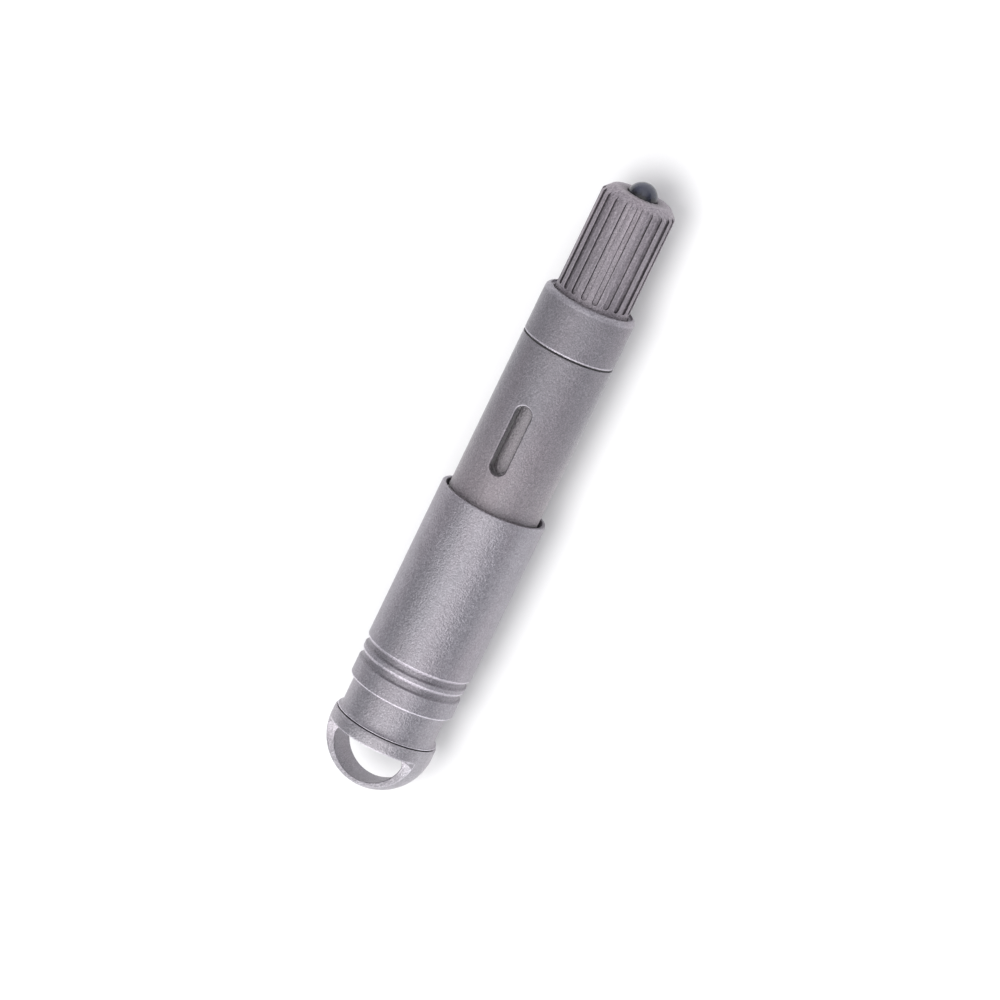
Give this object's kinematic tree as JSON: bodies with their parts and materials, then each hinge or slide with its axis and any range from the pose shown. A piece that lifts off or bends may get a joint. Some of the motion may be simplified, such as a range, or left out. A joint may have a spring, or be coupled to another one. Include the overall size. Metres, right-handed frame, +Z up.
{
  "type": "pocket examination penlight",
  "caption": "Bead-blasted titanium pocket examination light: lanyard bow, grooved outer sleeve, telescoping barrel with a long slot, collar and fluted twist head with a dark glass dome.",
  "frame": {"origin": "under the middle of the light, on the surface that it lies on", "axes": "+X along the light towards the glass dome, +Z up, out of the barrel's slot and along the lanyard eye"},
  "size_m": [0.1086, 0.018, 0.0181],
  "materials": {
    "titanium_sleeve": "matte",
    "titanium_barrel": "matte",
    "titanium_head": "matte",
    "steel": "satin",
    "spring_steel": "satin",
    "brass": "satin",
    "black_rubber": "matte",
    "black_acetal": "matte",
    "white_acetal": "matte",
    "dark_glass": "gloss",
    "reflector_metal": "polished",
    "black_aluminium": "matte",
    "board_green": "gloss",
    "board_white": "satin",
    "emitter": "gloss",
    "cell_label": "satin",
    "cell_metal": "polished"
  },
  "bodies": {
    "sleeve": {"outer_sleeve": "titanium_sleeve", "tail_cap": "titanium_sleeve", "tail_cap_o_ring": "black_rubber", "bumper_pad": "black_rubber", "gland_bush": "black_acetal", "swivel_screw": "steel", "swivel_washer": "white_acetal"},
    "bow": {"lanyard_bow": "titanium_sleeve"},
    "guide": {"guide_ring": "white_acetal"},
    "barrel": {"barrel": "titanium_barrel", "inner_tube": "titanium_barrel", "collar": "titanium_barrel", "collar_o_ring": "black_rubber", "head_o_ring": "black_rubber", "tail_plug": "titanium_barrel", "tail_plug_o_ring": "black_rubber", "spring_seat": "brass", "tail_spring": "spring_steel"},
    "cell": {"battery_cell": "cell_label", "battery_button": "cell_metal", "battery_insulator": "board_white"},
    "head": {"fluted_head": "titanium_head", "dome_lens": "dark_glass", "lens_o_ring": "black_rubber", "lens_retainer": "black_aluminium", "reflector": "reflector_metal", "led_emitter": "emitter", "led_board": "board_white", "heat_sink": "brass", "driver_board": "board_green", "driver_contact": "brass", "retaining_ring": "brass"}
  },
  "joints": [
    {"name": "bow_swivel", "type": "hinge", "parent": "sleeve", "child": "bow", "pos_m": [-0.04235, 0, 0.00905], "axis": [1, 0, 0], "continuous": true},
    {"name": "barrel_slide", "type": "slide", "parent": "sleeve", "child": "guide", "axis": [1, 0, 0], "range_m": [-0.0089, 0.0083]},
    {"name": "barrel_turn", "type": "hinge", "parent": "guide", "child": "barrel", "pos_m": [-0.01775, 0, 0.00905], "axis": [1, 0, 0], "continuous": true},
    {"name": "head_advance", "type": "slide", "parent": "barrel", "child": "cell", "axis": [-1, 0, 0], "range_m": [0, 0.0005], "deforming": ["tail_spring"]},
    {"name": "head_twist", "type": "hinge", "parent": "cell", "child": "head", "pos_m": [0.04065, 0, 0.00905], "axis": [-1, 0, 0], "range_deg": [0, 180]}
  ],
  "couplings": [
    {"joint": "head_twist", "follows": "head_advance", "rad_per_m": 6283.2}
  ]
}
